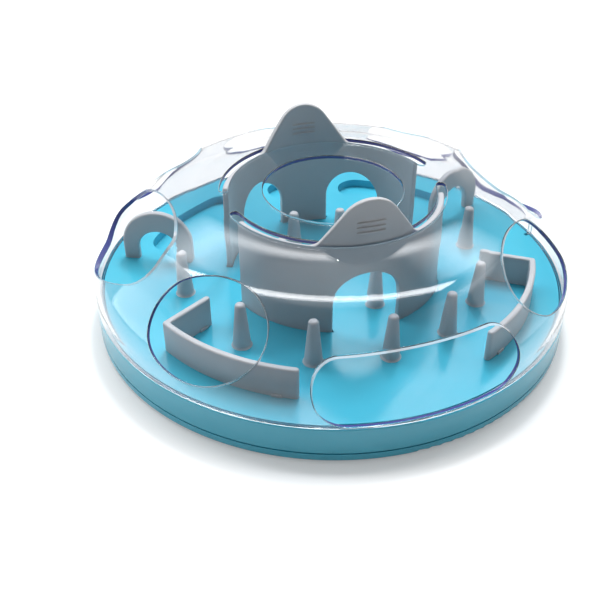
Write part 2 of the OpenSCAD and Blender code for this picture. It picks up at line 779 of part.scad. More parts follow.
// Clear dome with its rim, tongue, key rib, slots, hole and paw openings
module dome_cover() {
    skirt_in_r = base_r - dome_t;
    tongue_out_r = seat_out_r - seat_fit;
    tongue_in_r = seat_in_r + seat_fit;
    tongue_z = floor_z - seat_depth + seat_fit;
    color(clear_colour) difference() {
        union() {
            difference() {
                rotate_extrude($fn = dome_fn) dome_section(0, floor_z);
                rotate_extrude($fn = dome_fn) dome_section(dome_t, floor_z - over);
            }
            translate([0, 0, tongue_z]) linear_extrude(floor_z + rim_h - tongue_z)
                ring_plan(tongue_out_r, tongue_in_r);
            at(key_turn, skirt_in_r) translate([-key_w / 2, 0, tongue_z])
                cube([key_w, key_depth, floor_z + key_h - tongue_z]);
        }
        for (side = [0, 1]) rotate([0, 0, 180 * side]) translate([0, 0, ridge_z])
            linear_extrude(dome_z - ridge_z + over)
                slot_plan(turret_mid_r, slot_half_w, -slot_half_turn, slot_half_turn);
        translate([0, 0, ridge_z]) cylinder(r = hole_r, h = dome_z - ridge_z + over);
        for (k = [0 : len(paw_turns) - 1]) paw_opening(k);
    }
}

base_tray();
base_plate();
dome_cover();
turret_front();
turret_rear();
corner_wall_left();
corner_wall_right();
arch_left();
arch_right();
outer_peg(0);  // outer_peg_1
outer_peg(1);  // outer_peg_2
outer_peg(2);  // outer_peg_3
outer_peg(3);  // outer_peg_4
outer_peg(4);  // outer_peg_5
outer_peg(5);  // outer_peg_6
outer_peg(6);  // outer_peg_7
inner_peg(0);  // inner_peg_1
inner_peg(1);  // inner_peg_2
inner_peg(2);  // inner_peg_3
inner_peg(3);  // inner_peg_4
rubber_foot(foot_turns[0]);  // rubber_foot_1
rubber_foot(foot_turns[1]);  // rubber_foot_2
rubber_foot(foot_turns[2]);  // rubber_foot_3
rubber_foot(foot_turns[3]);  // rubber_foot_4
plate_screws();
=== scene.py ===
import math

import bpy
import numpy as np
from mathutils import Matrix, Vector
from mathutils.geometry import delaunay_2d_cdt


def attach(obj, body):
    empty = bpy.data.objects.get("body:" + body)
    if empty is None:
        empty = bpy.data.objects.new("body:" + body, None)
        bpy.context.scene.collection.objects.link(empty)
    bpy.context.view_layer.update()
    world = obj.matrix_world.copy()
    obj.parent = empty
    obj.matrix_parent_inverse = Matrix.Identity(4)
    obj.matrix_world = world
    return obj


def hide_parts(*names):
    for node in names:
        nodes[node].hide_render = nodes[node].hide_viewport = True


bl_info = {
    "name": "Slow Feeder Bowl",
    "version": (1, 0, 0),
    "blender": (4, 5, 0),
    "location": "View3D > Sidebar > Feeder Bowl",
    "description": "Dresses the slow feeder bowl: moulded base, obstacles, turret and clear dome",
    "category": "Object",
}

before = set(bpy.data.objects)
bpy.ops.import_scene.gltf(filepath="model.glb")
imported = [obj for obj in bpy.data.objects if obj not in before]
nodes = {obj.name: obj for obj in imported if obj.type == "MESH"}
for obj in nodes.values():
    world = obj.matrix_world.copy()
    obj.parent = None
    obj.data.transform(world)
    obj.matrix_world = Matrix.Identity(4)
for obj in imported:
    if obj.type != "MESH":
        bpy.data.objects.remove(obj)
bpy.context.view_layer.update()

# Sizes of the bowl's shapes in metres, and turns in degrees from the front
BASE_R = 0.150
FLOOR_Z = 0.0246
RIDGE_R, RIDGE_Z = 0.1145, FLOOR_Z + 0.0528
SHOULDER_Z = FLOOR_Z + 0.019
DOME_TOP_R = 0.080
DOME_BENDS = (0.060, 0.026, 0.024)
HOLE_R = 0.0413
SLOT_MID_R, SLOT_HALF_W, SLOT_HALF_TURN = 0.0664, 0.0029, math.radians(76.5)
TONGUE_LOW, TONGUE_HIGH = (0.1460, FLOOR_Z - 0.0042), (0.1477, FLOOR_Z - 0.0001)
TONGUE_ROUND = 0.0004
KEY_TURN, KEY_INSET, KEY_HALF_LONG, KEY_HALF_WIDE = 91, 0.00132, 0.0009, 0.0013
KEY_TOP, KEY_HEIGHT, KEY_ROUND, KEY_BEND = FLOOR_Z + 0.014, 0.0139, 0.00015, 4 / 3
TURRET_R, TURRET_HALF_TURN, TURRET_FOOT, TURRET_BEND = 0.0682, 72.5, 0.005, 1.5
TAB_HIGH, TAB_TOP_R, TAB_FOOT_R, TAB_SLOPE = 0.0296, 0.018, 0.009, math.radians(55)
GRIP_HALF_LONG, GRIP_HALF_WIDE, GRIP_RISE = 0.0086, 0.0008, 0.0009
GRIP_FIRST, GRIP_STEP, GRIP_COUNT = 0.00955, 0.0031, 3
CORNER_INSET, CORNER_HALF, CORNER_LEG = 0.0214, 0.0019, 0.0308
CORNER_START_TURN, CORNER_TURN, CORNER_TIP_TURN = 26.5, 65, 67.6
LUG_TURN, LUG_REACH, LUG_OUT, LUG_HALF_LONG = 31, 0.0257, 0.0008, 0.003
LUG_HEIGHT, LUG_ROUND, LUG_BEND = 0.0016, 0.00025, 1.2
# Turn, half width and height of each doorway in a turret wall
DOORWAYS = {"front": ((0, 0.020, 0.039),),
            "rear": ((30.5, 0.0185, 0.0375), (-30.5, 0.0185, 0.0375))}
# Turn, inset, height, turn to the side, half height, end radius, tilt and roll of each paw
# opening, in millimetres and degrees
PAWS = (
    (1.9, 16, 17.9, 26.12, 17.8, 17.4, 7, 0),
    (-48.7, 20.9, 33.3, 16.01, 29.2, 27, 43, 8),
    (50.2, 21.8, 35.2, 17.48, 26, 23.5, 46, -3),
    (-98.5, 26, 34.4, 26.85, 31, 22, 46, 20),
    (98.5, 26, 34.4, 26.85, 31, 22, 46, -20),
    (-135.6, 22.5, 36.5, 15.93, 28, 20, 46, 18),
    (135.6, 22.5, 36.5, 15.93, 28, 20, 46, -18),
    (180, 23.4, 37.2, 19.85, 27, 20, 46, 0),
)
# The dome's cuts with only a narrow rib between them, whose edges are rounded less
CRISP_CUTS, CRISP_SHARE = range(7, 11), 1 / 3
# Points on each outline, steps on a rounded edge, and the rounding at the foot of a block
FOOT_POINTS, HOLE_POINTS, SLOT_POINTS, PAW_POINTS = 400, 200, 420, 180
TURRET_POINTS, CORNER_POINTS, RING_POINTS, FLOOR_POINTS = 460, 260, 360, 96
# Distance between a sheet's own points, and its share that they keep from the outlines
TURRET_WEB, CORNER_WEB, KEY_WEB, WEB_GAP_SHARE = 0.0032, 0.0015, 0.002, 0.62
# Points on the arcs that outlines are first drawn with, and along and round each grip line
BEND_ARC, OVAL_ARC, SLOT_ARC, SLOT_END, DOOR_ARC, SHORT_ARC = 65, 300, 900, 60, 48, 8
LEG_ARC, LEG_END, LEG_CORNER, TAB_ARC, TAB_HOLLOW = 200, 40, 24, 40, 24
GRIP_LONG, GRIP_ROUND = 41, 16
EDGE_STEPS, FOOT_ROUND = 4, 0.0001
# Where lines from the axis to the dome start, how far a cut's line is searched, in how many steps
RAY_Z = FLOOR_Z - 0.03
LEVEL_SPAN, PAW_SPAN, HALVINGS = 0.02, 0.0381, 48
# How many points are measured against all marks at once
AT_ONCE = 4000
# Finishes that are the same for all pieces of a kind
PLASTIC_IOR, GRAIN_RELIEF, WAVE_RELIEF = 1.5, 0.0002, 0.001
# Painted light on the cut edges: the pale colour they show from within the plastic stands in for
# light carried along the sheet; the share after it is how clear they are from within
EDGE_PAINTED_LIGHT_WITHIN, EDGE_CLEARNESS = (0.80, 0.84, 0.88, 1), 0.5
CLEAR_SHADE = (0.93, 0.95, 0.97, 1)
# The studio: the view's turn from the front, the camera's place, turns, shift and sensor width,
# and the floor's grey and how much it is lifted
VIEW_TURN = -18.5
CAMERA_PLACE, CAMERA_TURNS = (-0.148485, -0.443775, 0.334255), (54.3821, -0.8879, -17.7894)
CAMERA_SHIFT, SENSOR_W = -0.05, 36
FLOOR_GREY, FLOOR_LIFT = (0.70, 0.70, 0.70, 1), 0.25
# Heights of a ray's direction between which the room darkens and the soft band rises and falls
ROOM_DARKENS = 0.15, 0.6
BAND_EDGES = (0.54, 0.65, 0, 1), (0.68, 0.78, 1, 0)
# Name, power, turn from the camera, rise, distance, shift to the left, width and height of
# each lamp, and whether gloss and glass show it
LAMPS = (
    ("key_strip", "key_power", 0, 107, 1.5, 0.15, 2.1, 0.32, True),
    ("spot_lamp", "spot_power", 172, 60, 1.8, 0, 0.3, 0.3, False),
    ("glint_lamp", "glint_power", 178, 52, 1.8, 0, 0.03, 0.05, True),
    ("back_softbox", "back_power", 178, 44, 2.2, 0, 2.4, 0.6, False),
    ("left_softbox", "left_power", -95, 27, 1.4, 0, 1.1, 0.9, True),
    ("right_softbox", "right_power", 100, 24, 1.5, 0, 1.1, 0.9, True),
)


def number(name, description, default, low=0, **kind):
    """A number that a user may change, with its unit, subtype or limits."""
    return bpy.props.FloatProperty(name=name, description=description, default=default, min=low,
                                   **kind)


def length(name, description, default, low=0):
    """A length that a user may change."""
    return number(name, description, default, low, unit="LENGTH")


def lamp_power(name, description, default):
    """A lamp's power that a user may change."""
    return number(name, description, default, subtype="POWER")


def rgb_colour(name, description, default):
    """A colour that a user may change."""
    return bpy.props.FloatVectorProperty(name=name, description=description, default=default,
                                         size=3, min=0, max=1, subtype="COLOR")


class FeederDome(bpy.types.PropertyGroup):
    """Sizes of the clear dome, as in the CAD source."""

    height: length("Height", "Height of the dome's flat top above the tray's floor", 0.060)
    thickness: length("Thickness", "Thickness of the clear plastic", 0.0026)
    edge_round: length("Edge rounding", "Rounding on the edges of every opening", 0.0005)
    web: length("Web size", "Distance between the points that carry the clear surface", 0.0024)


class FeederObstacles(bpy.types.PropertyGroup):
    """Sizes of the turret walls and the corner walls, as in the CAD source."""

    turret_height: length("Turret height", "Height of the turret's rim above the floor", 0.0576)
    turret_thickness: length("Turret thickness", "Thickness of the turret walls", 0.0036)
    turret_round: length("Turret rounding", "Rounding on the turret walls' edges", 0.0010)
    wall_height: length("Corner wall height", "Height of the corner walls above the floor", 0.0196)
    wall_round: length("Corner wall rounding", "Rounding on the corner walls' top edges", 0.0012)


class FeederFinish(bpy.types.PropertyGroup):
    """Colours and finishes of the bowl's plastics."""

    tray_colour: rgb_colour("Tray colour", "Colour of the moulded tray and bottom plate",
                            (0.062, 0.437, 0.595))
    grey_colour: rgb_colour("Obstacle colour", "Colour of the pegs, walls, arches and turret",
                            (0.47, 0.485, 0.51))
    clear_colour: rgb_colour("Dome tint", "Tint of the clear dome", (0.878, 0.882, 0.898))
    # Painted shade: the dark blue of the cut edges seen from outside stands in for the dark look of
    # light bent and lost inside the plastic's edge
    edge_painted_shade: rgb_colour("Cut edge colour", "Colour that the dome's cut edges show outside",
                            (0.06, 0.07, 0.26))
    rubber_colour: rgb_colour("Rubber colour", "Colour of the feet", (0.045, 0.05, 0.06))
    steel_colour: rgb_colour("Steel colour", "Colour of the screws", (0.55, 0.56, 0.58))
    dome_ior: number("Dome index", "Index of refraction of the clear plastic", 1.49, low=1.3,
                     max=1.7)


class FeederStudio(bpy.types.PropertyGroup):
    """Floor, lights and camera."""

    floor_radius: length("Floor radius", "Radius of the studio floor", 4, low=1)
    key_power: lamp_power("Key light", "Power of the strip light above the bowl", 20)
    spot_power: lamp_power("Spot light", "Power of the small lamp high behind the bowl", 15)
    glint_power: lamp_power("Glint light", "Power of the tiny lamp that leaves a glint", 0.25)
    left_power: lamp_power("Left light", "Power of the softbox at the left", 6)
    right_power: lamp_power("Right light", "Power of the softbox at the right", 2.5)
    back_power: lamp_power("Back light", "Power of the wide softbox behind the bowl", 9)
    ceiling: number("Ceiling", "Brightness of the ceiling that gloss and glass show", 0.06,
                    max=1)
    glow: number("Ceiling glow", "Brightness round the strip light on the ceiling", 2)
    back_glow: number("Back glow", "Brightness of the soft spot behind the bowl", 1.2)
    band_glow: number("Band glow", "Brightness of the soft band behind the bowl", 4.2)
    sky: number("Room light", "Strength of the room's light from straight above", 0.50)
    low_sky: number("Low room light", "Strength of the room's light from the horizon", 0.05)
    focal_length: number("Focal length", "Focal length of the camera, in millimetres", 51.407,
                         low=10)


def new_material(name):
    """An empty material with a Principled shader, and its node tree."""
    material = bpy.data.materials.new(name)
    material.use_nodes = True
    tree = material.node_tree
    tree.nodes.clear()
    output = tree.nodes.new("ShaderNodeOutputMaterial")
    skin = tree.nodes.new("ShaderNodeBsdfPrincipled")
    tree.links.new(skin.outputs["BSDF"], output.inputs["Surface"])
    return material, tree, skin, output


def wire(tree, node, inputs):
    """Sets a node's inputs, or links them where a socket is given."""
    for name, value in inputs.items():
        if isinstance(value, bpy.types.NodeSocket):
            tree.links.new(value, node.inputs[name])
        else:
            node.inputs[name].default_value = value


def add_node(tree, kind, inputs=None, **settings):
    """A new node of a tree, with its settings and then its inputs."""
    node = tree.nodes.new(kind)
    for name, value in settings.items():
        setattr(node, name, value)
    wire(tree, node, inputs or {})
    return node


def worked(tree, operation, first, second):
    """The result of a sum, a product or the larger one of two values."""
    node = add_node(tree, "ShaderNodeMath", {0: first, 1: second}, operation=operation)
    return node.outputs["Value"]


def tinted(tree, share, first, second):
    """A mix of two colours by a share."""
    node = add_node(tree, "ShaderNodeMix", {"Factor": share, "A": first, "B": second},
                    data_type="RGBA")
    return node.outputs["Result"]


def blend(tree, share, first, second):
    """A mix of two shaders by a share."""
    node = add_node(tree, "ShaderNodeMixShader", {"Fac": share, 1: first, 2: second})
    return node.outputs["Shader"]


def new_group(name, inputs, outputs):
    """A node group with its named inputs and outputs, and the nodes that hold their sockets."""
    group = bpy.data.node_groups.new(name, "ShaderNodeTree")
    for title, kind, value in inputs:
        group.interface.new_socket(title, in_out="INPUT", socket_type=kind).default_value = value
    for title, kind in outputs:
        group.interface.new_socket(title, in_out="OUTPUT", socket_type=kind)
    return group, group.nodes.new("NodeGroupInput").outputs, group.nodes.new("NodeGroupOutput")


def noise(tree, place, scale, detail):
    """A noise texture on a piece's own coordinates."""
    node = add_node(tree, "ShaderNodeTexNoise", {"Vector": place, "Scale": scale, "Detail": detail})
    return node.outputs["Fac"]


def spread(tree, value, low, high, low_to=0.0, high_to=1.0):
    """Maps a value's range to another range, whose ends may be sockets."""
    node = add_node(tree, "ShaderNodeMapRange", {
        "Value": value, "From Min": low, "From Max": high, "To Min": low_to, "To Max": high_to})
    return node.outputs["Result"]


def moulded_skin_group():
    """Moulded plastic: slow colour flow, uneven gloss and a fine tool grain."""
    group, given, sink = new_group(
        "moulded_skin",
        [("Colour", "NodeSocketColor", (0.5, 0.5, 0.5, 1)),
         ("Flow Colour", "NodeSocketColor", (0.45, 0.45, 0.45, 1)),
         ("Gloss Low", "NodeSocketFloat", 0.25),
         ("Gloss High", "NodeSocketFloat", 0.4),
         ("Grain Scale", "NodeSocketFloat", 1800)],
        [("Colour", "NodeSocketColor"), ("Roughness", "NodeSocketFloat"),
         ("Height", "NodeSocketFloat")])
    place = group.nodes.new("ShaderNodeTexCoord").outputs["Object"]
    flow = spread(group, noise(group, place, scale=22, detail=3), 0.35, 0.65)
    wire(group, sink, {
        "Colour": tinted(group, flow, given["Colour"], given["Flow Colour"]),
        "Roughness": spread(group, noise(group, place, scale=140, detail=4), 0.3, 0.7,
                            given["Gloss Low"], given["Gloss High"]),
        "Height": noise(group, place, given["Grain Scale"], 2)})
    return group


def clear_skin_group():
    """Clear plastic: gloss that is uneven by handling, and the mould's faint waves."""
    group, given, sink = new_group(
        "clear_skin",
        [("Gloss Low", "NodeSocketFloat", 0.01), ("Gloss High", "NodeSocketFloat", 0.05),
         ("Wave Scale", "NodeSocketFloat", 30)],
        [("Roughness", "NodeSocketFloat"), ("Height", "NodeSocketFloat")])
    place = group.nodes.new("ShaderNodeTexCoord").outputs["Object"]
    wire(group, sink, {
        "Roughness": spread(group, noise(group, place, scale=45, detail=5), 0.35, 0.7,
                            given["Gloss Low"], given["Gloss High"]),
        "Height": noise(group, place, given["Wave Scale"], 1)})
    return group


def lay_skin(tree, skin, make_group, name, given, strength, relief):
    """Gives a Principled shader the gloss and the relief of a shared group, made once."""
    group = bpy.data.node_groups.get(name) or make_group()
    cast = add_node(tree, "ShaderNodeGroup", given, node_tree=group)
    bump = add_node(tree, "ShaderNodeBump", {"Strength": strength, "Distance": relief,
                                             "Height": cast.outputs["Height"]})
    wire(tree, skin, {"Roughness": cast.outputs["Roughness"], "Normal": bump.outputs["Normal"]})
    return cast


def moulded_plastic(name, colour, depth, gloss, grain_scale, grain):
    """Opaque moulded plastic with its colour, gloss and grain from the moulded_skin group."""
    material, tree, skin, _ = new_material(name)
    cast = lay_skin(tree, skin, moulded_skin_group, "moulded_skin", {
        "Colour": (*colour, 1), "Flow Colour": (*[c * (1 - depth) for c in colour], 1),
        "Gloss Low": gloss[0], "Gloss High": gloss[1], "Grain Scale": grain_scale}, grain,
        GRAIN_RELIEF)
    wire(tree, skin, {"Base Color": cast.outputs["Colour"], "IOR": PLASTIC_IOR})
    return material


def clear_detail(tree, skin, low, high, waves):
    """Gives a clear material its uneven gloss and waves from the clear_skin group."""
    lay_skin(tree, skin, clear_skin_group, "clear_skin", {"Gloss Low": low, "Gloss High": high},
             waves, WAVE_RELIEF)


def cut_edge_painted_shade_and_light(finish):
    """The dome's cut edges in painted shade and light: dark blue from outside for their dark look,
    pale and half clear from within for light carried along the sheet.
    """
    material, tree, skin, output = new_material("clear_plastic_edge")
    clear_detail(tree, skin, low=0.08, high=0.2, waves=0.1)
    within = tree.nodes.new("ShaderNodeNewGeometry").outputs["Backfacing"]
    # Painted shade outside and painted light within, picked by which side of the edge is seen
    colour = tinted(tree, within, (*finish.edge_painted_shade, 1), EDGE_PAINTED_LIGHT_WITHIN)
    wire(tree, skin, {"Base Color": colour, "IOR": finish.dome_ior})
    see_through(tree, skin, output, spread(tree, within, 0, 1, 0, EDGE_CLEARNESS), (1, 1, 1, 1))
    return material


def see_through(tree, skin, output, share, tint):
    """Lets light pass a shader straight: shadow rays wholly, and other rays by a share."""
    shadow = tree.nodes.new("ShaderNodeLightPath").outputs["Is Shadow Ray"]
    clear = add_node(tree, "ShaderNodeBsdfTransparent", {"Color": tint})
    wire(tree, output, {"Surface": blend(tree, worked(tree, "MAXIMUM", shadow, share),
                                         skin.outputs["BSDF"], clear.outputs["BSDF"])})


def dress(names, material):
    """Gives CAD nodes a material in each of their slots."""
    for name in names:
        slots = nodes[name].material_slots
        if not slots:
            nodes[name].data.materials.append(material)
        for slot in slots:
            slot.material = material


def bent_line(corners, bends):
    """A section line whose corners are rounded by arcs.

    Between the arcs the line is straight. At the corner c with bend R and a change of
    direction a, the arc runs from c - R tan(a/2) u to c + R tan(a/2) v, where u and v are
    the directions before and after it. Returns lengths, points and left-hand normals.
    """
    corners = np.asarray(corners, float)
    ways = np.diff(corners, axis=0)
    ways /= np.linalg.norm(ways, axis=1)[:, None]
    points, normals = [corners[:1]], [np.array([[-ways[0, 1], ways[0, 0]]])]
    for k, bend in enumerate(bends):
        u, v = ways[k], ways[k + 1]
        first, last = (np.array([-w[1], w[0]]) for w in (u, v))
        change = math.acos(float(u @ v))
        start = corners[k + 1] - bend * math.tan(change / 2) * u
        middle = start - bend * first
        share = np.linspace(0, 1, BEND_ARC)[:, None]
        turned = (np.sin((1 - share) * change) * first + np.sin(share * change) * last)
        turned /= math.sin(change)
        points.append(middle + bend * turned)
        normals.append(turned)
    points.append(corners[-1:])
    normals.append(np.array([[-ways[-1, 1], ways[-1, 0]]]))
    points, normals = np.concatenate(points), np.concatenate(normals)
    steps = np.linalg.norm(np.diff(points, axis=0), axis=1)
    return np.concatenate([[0], np.cumsum(steps)]), points, normals


def about_axis(radius, turn, height):
    """Points at a radius r, a turn a and a height z, which lie at (r sin a, -r cos a, z)."""
    parts = radius * np.sin(turn), -radius * np.cos(turn), height
    return np.stack(np.broadcast_arrays(*parts), axis=-1)


def strips(ids):
    """Faces between the rows of a grid of points that closes on itself along each row."""
    after = np.roll(ids, -1, axis=1)
    return np.stack([ids[:-1], after[:-1], after[1:], ids[1:]], axis=2).reshape(-1, 4)


def even_steps(loop, count):
    """A closed line of points, placed again at even steps along it."""
    closed = np.vstack([loop, loop[:1]])
    reach = np.concatenate([[0], np.cumsum(np.linalg.norm(np.diff(closed, axis=0), axis=1))])
    places = np.linspace(0, reach[-1], count, endpoint=False)
    return np.column_stack([np.interp(places, reach, closed[:, k]) for k in (0, 1)])


def arc(middle, radius, start, end, count):
    """Points on an arc in the plane, from one angle to another in radians."""
    angle = np.linspace(start, end, count, endpoint=False)
    return np.asarray(middle) + radius * np.column_stack([np.cos(angle), np.sin(angle)])


def inside(points, loop):
    """Whether each point in the plane lies within a closed line, by crossings."""
    result = np.zeros(len(points), bool)
    low, high = loop.min(0), loop.max(0)
    near = np.flatnonzero(np.all((points >= low) & (points <= high), axis=1))
    x, y = points[near, 0][:, None], points[near, 1][:, None]
    x0, y0 = loop[:, 0], loop[:, 1]
    x1, y1 = np.roll(x0, -1), np.roll(y0, -1)
    rise = np.where(y1 == y0, 1, y1 - y0)
    crosses = ((y0 > y) != (y1 > y)) & (x < (x1 - x0) * (y - y0) / rise + x0)
    result[near] = crosses.sum(1) % 2 == 1
    return result


def far_from(points, marks, gap):
    """The points that lie at least a gap away from every mark."""
    keep = np.ones(len(points), bool)
    for start in range(0, len(points), AT_ONCE):
        part = slice(start, start + AT_ONCE)
        gaps = ((points[part, None] - marks[None]) ** 2).sum(2).min(1)
        keep[part] = gaps > gap * gap
    return points[keep]


def fill_sheet(loops, step):
    """Triangles between closed lines in the plane, with an even web of points between.

    The first line bounds the sheet when it runs clockwise, and every other line is a hole.
    Returns the web's own points and the triangles, which count the lines' points first.
    """
    marks = np.concatenate(loops)
    low, high = marks.min(0), marks.max(0)
    rows = np.arange(low[1], high[1], step * math.sqrt(3) / 2)
    along = np.arange(low[0], high[0], step)
    x, y = np.meshgrid(along, rows)
    x = x + (np.arange(len(rows)) % 2)[:, None] * step / 2
    web = np.column_stack([x.ravel(), y.ravel()])

    def solid(points):
        kept = inside(points, loops[0])
        for loop in loops[1:]:
            kept &= ~inside(points, loop)
        return kept

    web = far_from(web[solid(web)], marks, WEB_GAP_SHARE * step)
    ends = np.cumsum([len(loop) for loop in loops])
    edges = []
    for end, loop in zip(ends, loops):
        ids = np.arange(end - len(loop), end)
        edges += np.column_stack([ids, np.roll(ids, -1)]).tolist()
    places = np.concatenate([marks, web])
    out = delaunay_2d_cdt([Vector(p) for p in places.tolist()], edges, [], 0, 1e-9)
    ids = np.array([source[0] for source in out[3]])
    faces = ids[np.array(out[2])]
    corners = places[faces]
    faces = faces[solid(corners.mean(1))]
    corners = places[faces]
    turn = np.cross(corners[:, 1] - corners[:, 0], corners[:, 2] - corners[:, 0])
    faces[turn < 0] = faces[turn < 0][:, ::-1]
    return web, faces


def edge_rows(thick, top_round, low_round):
    """Insets, depths and lean of the rows down a cut edge with rounded corners.

    For a corner of radius r and angle a: inset = r (1 - sin a), depth = r (1 - cos a). The
    lean is the angle between the surface's normal and the plate's outward normal.
    """
    angle = np.linspace(0, math.pi / 2, EDGE_STEPS + 1)
    inset = [top_round * (1 - np.sin(angle)), low_round * (1 - np.sin(angle[::-1]))]
    depth = [top_round * (1 - np.cos(angle)), thick - low_round * (1 - np.cos(angle[::-1]))]
    return np.concatenate(inset), np.concatenate(depth), np.concatenate([angle, angle + angle[-1]])


def least_turn(turn):
    """The same turns in radians, brought between -pi and pi."""
    return (turn + np.pi) % (2 * np.pi) - np.pi


def ways_along(line):
    """How a closed line runs at each of its points, from the point before to the one after."""
    return np.roll(line, -1, axis=0) - np.roll(line, 1, axis=0)


def unit(vectors):
    """Vectors scaled to length 1."""
    return vectors / np.linalg.norm(vectors, axis=1)[:, None]


def bent_plate(outer, inner, rows, thick, shape, step, painted_edge_outlines=()):
    """A bent plate with rounded edges, given by its outlines on two faces.

    A point is shape.place(p, w), where p are the plate's two own measures and w is the
    depth below its outer face. Down an edge, p = (1 - w/t) outer + (w/t) inner + e n, where
    t is the thickness, e the row's inset and n the direction into the plate. Each outline
    has the plate on its right, and rows gives the rows of each one's edge. shape.flat(p)
    lays the measures out in the plane for the triangles of the two faces, and
    shape.metric(p) is the length of a unit of the second measure. Along the outlines listed last,
    the flat of the edge takes the second material slot, which holds painted shade and light for the
    cut edges, and all else the first.
    """
    points, normals, faces, slots = [], [], [], []
    tops, bottoms, top_loops, bottom_loops = [], [], [], []
    base = 0
    for index, (first, last, edge) in enumerate(zip(outer, inner, rows)):
        grid, places = [], []
        for inset, depth, _ in zip(*edge):
            line = first + (last - first) * (depth / thick)
            run = ways_along(line)
            size = shape.metric(line)
            run[:, 1] = least_turn(run[:, 1]) * size
            run = unit(run)
            moved = line + inset * np.column_stack([run[:, 1], -run[:, 0] / size])
            grid.append(moved)
            places.append(shape.place(moved, depth))
        steps = len(grid) // 2
        wall = unit(np.cross(ways_along(places[steps]), places[steps] - places[steps - 1]))
        for moved, lean in zip(grid, edge[2]):
            normals.append(unit(math.cos(lean) * shape.out(moved) + math.sin(lean) * wall))
        points += places
        count, depth_rows = len(first), len(grid)
        ids = base + np.arange(count * depth_rows).reshape(depth_rows, count)
        faces += strips(ids).tolist()
        # The flat strip along the listed outlines takes the slot of painted shade and light
        flat_strip = np.repeat(np.arange(depth_rows - 1) == steps - 1, count)
        slots += (flat_strip & (index in painted_edge_outlines)).astype(int).tolist()
        tops.append(ids[0])
        bottoms.append(ids[-1])
        top_loops.append(shape.flat(grid[0]))
        bottom_loops.append(shape.flat(grid[-1]))
        base += count * depth_rows
    for loops, rims, depth, side in ((top_loops, tops, 0, 1), (bottom_loops, bottoms, thick, -1)):
        web, triangles = fill_sheet(loops, step)
        ids = np.concatenate(rims + [base + np.arange(len(web))])
        if len(web):
            measures = shape.back(web)
            points.append(shape.place(measures, depth))
            normals.append(side * shape.out(measures))
            base += len(web)
        faces += ids[triangles][:, ::side].tolist()
        slots += [0] * len(triangles)
    return np.concatenate(points), np.concatenate(normals), faces, slots


def smooth_mesh(name, points, normals, faces, slots):
    """A smooth-shaded mesh from points, their normals, faces and material slots."""
    mesh = bpy.data.meshes.new(name)
    mesh.from_pydata(points.tolist(), [], faces)
    mesh.polygons.foreach_set("use_smooth", np.ones(len(mesh.polygons), bool))
    mesh.polygons.foreach_set("material_index", np.asarray(slots, np.int32))
    mesh.update()
    mesh.normals_split_custom_set_from_vertices(normals.tolist())
    return mesh


def add_piece(mesh, body, materials, stands_for=()):
    """Links a new piece that rides on a body, and lets it stand for CAD nodes."""
    piece = bpy.data.objects.new(mesh.name, mesh)
    bpy.context.scene.collection.objects.link(piece)
    for material in materials:
        mesh.materials.append(material)
    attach(piece, body)
    if stands_for:
        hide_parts(*stands_for)


def from_below(flat, height):
    """Rise and distance of points, seen from the height RAY_Z on the axis, below the dome."""
    return np.arctan2(height - RAY_Z, flat), np.hypot(flat, height - RAY_Z)


class DomeShape:
    """The dome as a bent plate: its measures are the length along the section and the turn.

    A point at length s, turn a and depth w lies at radius r = R(s) - w N_r(s) and height
    z = Z(s) - w N_z(s), where (R, Z) is the section line and N its outward normal.
    """

    def __init__(self, sizes):
        top = FLOOR_Z + sizes.height
        corners = [(0, top), (DOME_TOP_R, top), (RIDGE_R, RIDGE_Z), (BASE_R, SHOULDER_Z),
                   (BASE_R, FLOOR_Z)]
        self.reach, self.line, self.normal = bent_line(corners, DOME_BENDS)
        self.thick = sizes.thickness

    def section(self, reach, depth):
        return [np.interp(reach, self.reach, self.line[:, k] - depth * self.normal[:, k])
                for k in (0, 1)]

    def place(self, p, depth):
        radius, height = self.section(p[:, 0], depth)
        return about_axis(radius, p[:, 1], height)

    def out(self, p):
        radial, rise = (np.interp(p[:, 0], self.reach, self.normal[:, k]) for k in (0, 1))
        return unit(about_axis(radial, p[:, 1], rise))

    def rays(self, depth):
        rise, far = from_below(*(self.line - depth * self.normal).T)
        return rise[::-1], far[::-1]

    def measure(self, points, depth, turn):
        """Length along the section and turn of points on the surface at a depth."""
        rise, _ = self.rays(depth)
        seen, _ = from_below(np.hypot(points[:, 0], points[:, 1]), points[:, 2])
        turned = least_turn(np.arctan2(points[:, 0], -points[:, 1]) - turn) + turn
        return np.column_stack([np.interp(seen, rise, self.reach[::-1]), turned])

    def cast(self, start, way, span, depth):
        """Where lines along a direction cross the surface at a depth, by halving."""
        rise, far = self.rays(depth)
        low, high = np.full(len(start), -span), np.full(len(start), span)
        for _ in range(HALVINGS):
            middle = (low + high) / 2
            at = start + middle[:, None] * way
            seen, gap = from_below(np.hypot(at[:, 0], at[:, 1]), at[:, 2])
            out = gap > np.interp(seen, rise, far)
            high = np.where(out, middle, high)
            low = np.where(out, low, middle)
        return start + low[:, None] * way

    def cut(self, outline, middle, axes, span, turn):
        """An outline cut along the third of its axes, as measures on the two faces."""
        across, up, way = axes
        start = middle + outline[:, :1] * across + outline[:, 1:] * up
        return [self.measure(self.cast(start, way, span, depth), depth, turn)
                for depth in (0, self.thick)]

    def flat(self, p):
        return p[:, :1] * np.column_stack([np.sin(p[:, 1]), -np.cos(p[:, 1])])

    def back(self, q):
        return np.column_stack([np.hypot(q[:, 0], q[:, 1]), np.arctan2(q[:, 0], -q[:, 1])])

    def metric(self, p):
        return self.section(p[:, 0], 0)[0]


